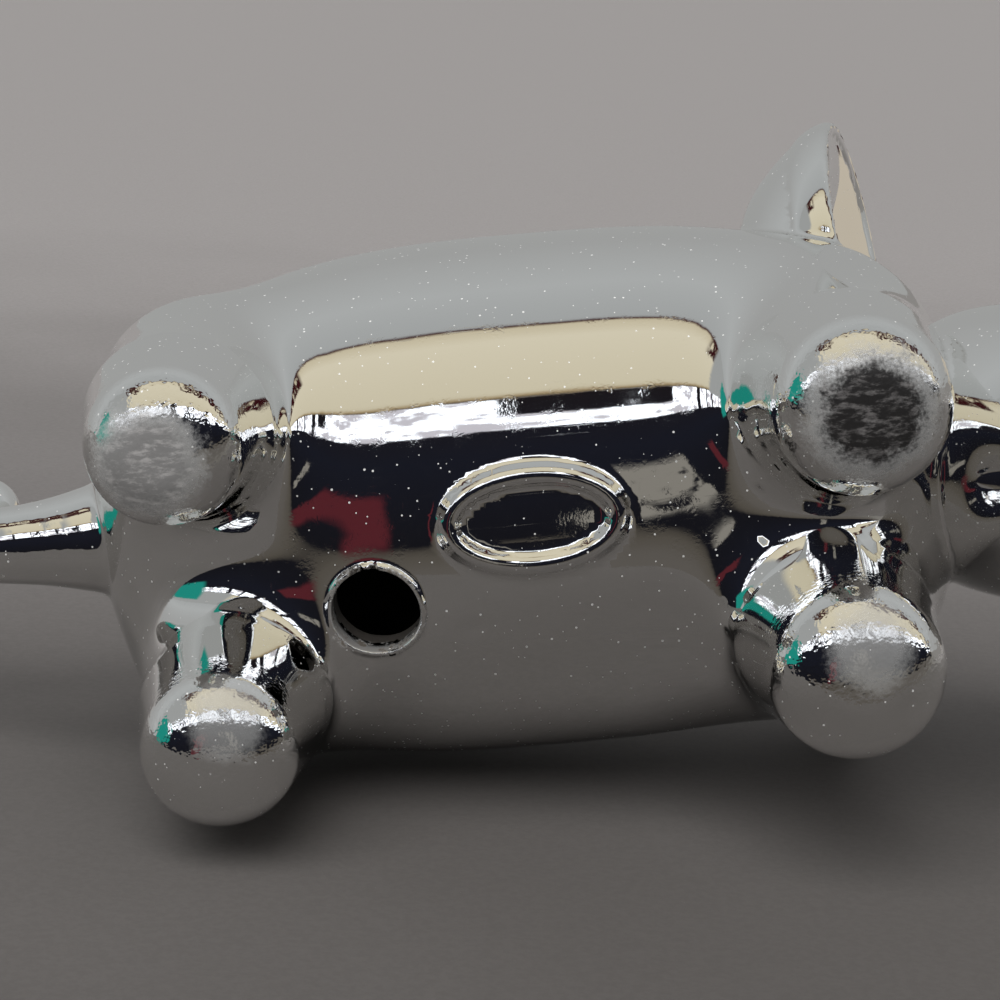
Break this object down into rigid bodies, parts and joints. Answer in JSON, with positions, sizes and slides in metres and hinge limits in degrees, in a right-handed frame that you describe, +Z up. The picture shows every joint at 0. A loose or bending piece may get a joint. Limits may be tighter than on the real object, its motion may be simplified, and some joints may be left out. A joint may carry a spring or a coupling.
{
  "type": "elephant figurine",
  "caption": "Small hollow ceramic elephant with a mirror metal plating, stub legs, raised trunk, curled tail and a drain hole in the belly.",
  "frame": {"origin": "on the ground under the middle of the figurine's box", "axes": "+X towards the head along the body, +Y towards the animal's left, +Z up"},
  "size_m": [0.1532, 0.0642, 0.0689],
  "materials": {
    "mirror_plating": "mirror bright silver plating over glazed ceramic, with fine dust specks and hairline scratches",
    "worn_plating": "mirror bright silver plating, rubbed dull and dark grey where the feet stand"
  },
  "bodies": {
    "root": {"body_shell": "mirror_plating", "head": "mirror_plating", "trunk": "mirror_plating", "tail": "mirror_plating", "belly_cartouche": "mirror_plating", "ear_left": "mirror_plating", "ear_right": "mirror_plating", "leg_front_left": "worn_plating", "leg_front_right": "worn_plating", "leg_hind_left": "worn_plating", "leg_hind_right": "worn_plating"}
  },
  "joints": []
}
